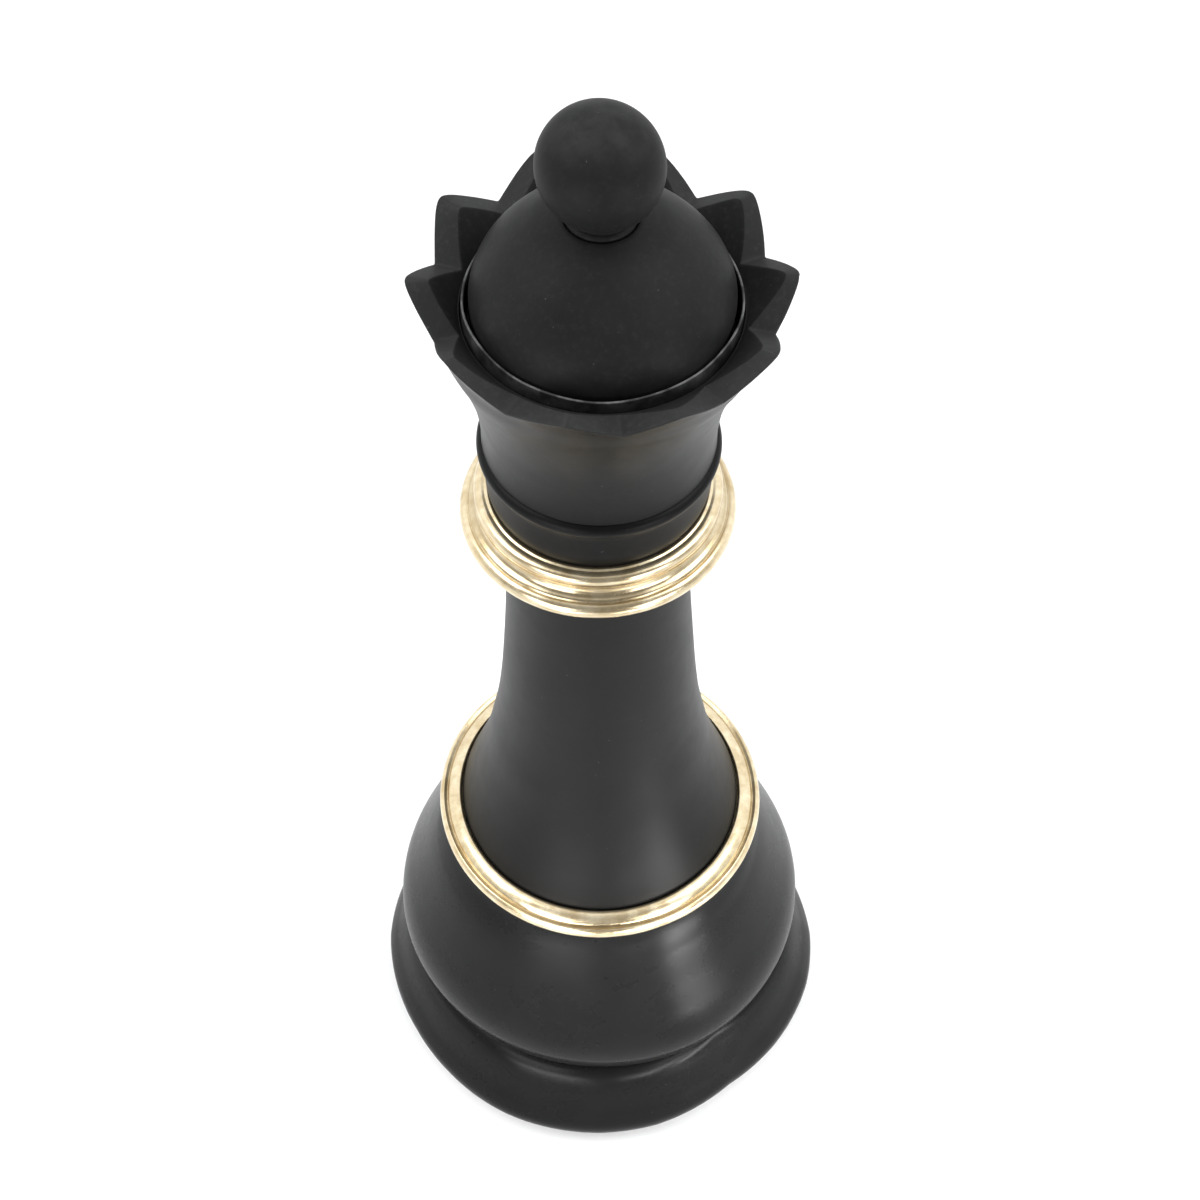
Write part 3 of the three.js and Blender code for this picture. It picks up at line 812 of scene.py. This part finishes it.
def make_floor():
    """A plain pale floor, which glows except in front of the piece."""
    half = FLOOR_SIZE / 2
    mesh = bpy.data.meshes.new("floor")
    corners = [(-half, -half, 0), (half, -half, 0), (half, half, 0), (-half, half, 0)]
    mesh.from_pydata(corners, [], [(0, 1, 2, 3)])
    s = Shader("light_table")
    mottle = s.noise(60, 2)
    depth = s.add("ShaderNodeSeparateXYZ", Vector=s.place).outputs["Y"]
    mesh.materials.append(
        s.finish(
            Base_Color=s.blend(mottle, grey(0.75), grey(0.77)), Roughness=0.9, Specular_IOR_Level=0.2,
            Emission_Color=(1, 1, 1, 1), Emission_Strength=s.spread(depth, 0.0, 0.28, -0.2, -0.05),
        )
    )
    floor = bpy.data.objects.new("floor", mesh)
    bpy.context.scene.collection.objects.link(floor)


def soft_box(name, place, size, radiance, spread=180, aim=0.25):
    """A glowing panel that faces a height on the axis, with a beam of spread degrees."""
    half = math.radians(spread / 2)
    focus = math.tan(half) / (math.tan(half) - half)  # how much a narrower beam brightens the panel
    light = bpy.data.lights.new(name, "AREA")
    light.shape = "RECTANGLE"
    light.size, light.size_y = size
    light.spread = 2 * half
    light.energy = radiance * math.pi * size[0] * size[1] / focus
    lamp = bpy.data.objects.new(name, light)
    lamp.location = place
    lamp.rotation_euler = (Vector((0, 0, aim)) - Vector(place)).to_track_quat("-Z", "Y").to_euler()
    lamp.visible_camera = False
    bpy.context.scene.collection.objects.link(lamp)


def make_world():
    """A plain studio: pale overhead and behind, dimmer in front between the soft boxes."""
    world = bpy.data.worlds.new("studio")
    world.use_nodes = True
    tree = world.node_tree
    background = tree.nodes["Background"]
    place = tree.nodes.new("ShaderNodeTexCoord")
    split = tree.nodes.new("ShaderNodeSeparateXYZ")
    tree.links.new(place.outputs["Generated"], split.inputs[0])
    shade = tree.nodes.new("ShaderNodeMapRange")
    shade.interpolation_type = "SMOOTHSTEP"
    tree.links.new(split.outputs["Y"], shade.inputs["Value"])
    for key, value in (("From Min", -0.75), ("From Max", 0.35), ("To Min", 0.2), ("To Max", 1.25)):
        shade.inputs[key].default_value = value
    tree.links.new(shade.outputs["Result"], background.inputs["Strength"])
    background.inputs["Color"].default_value = (0.97, 0.985, 1.0, 1)
    bpy.context.scene.world = world


def make_camera():
    """Looks down on the piece from the front."""
    data = bpy.data.cameras.new("camera")
    data.lens = 73.5
    data.sensor_width = 36
    camera = bpy.data.objects.new("camera", data)
    camera.location = (0, -0.5156, 0.9725)
    camera.rotation_euler = (math.radians(35.95), 0, 0)
    bpy.context.scene.collection.objects.link(camera)
    bpy.context.scene.camera = camera


make_camera()
make_base()
make_bulb()
make_lower_ring()
make_stem()
make_collar()
make_neck()
make_coronet()
make_socket_ring()
make_dome()
make_finial()
paint_cad_nodes()
make_floor()
make_world()
soft_box("overhead_left", (-1.2, -0.15, 1.6), (1.0, 1.0), 3.6)
soft_box("overhead_right", (1.2, -0.15, 1.6), (1.0, 1.0), 3.6)
soft_box("key_left", (-0.26, -0.42, 0.38), (0.26, 0.18), 5.5)
soft_box("key_right", (0.30, -0.38, 0.38), (0.22, 0.18), 5.5)
soft_box("card_left", (-0.18, -0.41, 0.15), (0.26, 0.09), 32, spread=56, aim=0.15)
soft_box("card_right", (0.20, -0.38, 0.14), (0.26, 0.08), 44, spread=56, aim=0.14)
soft_box("low_card_left", (-0.10, -0.31, 0.05), (0.20, 0.05), 4.5, spread=80, aim=0.05)
soft_box("low_card_right", (0.245, -0.24, 0.030), (0.12, 0.03), 62, spread=50, aim=0.09)
bpy.context.scene.view_settings.view_transform = "Standard"
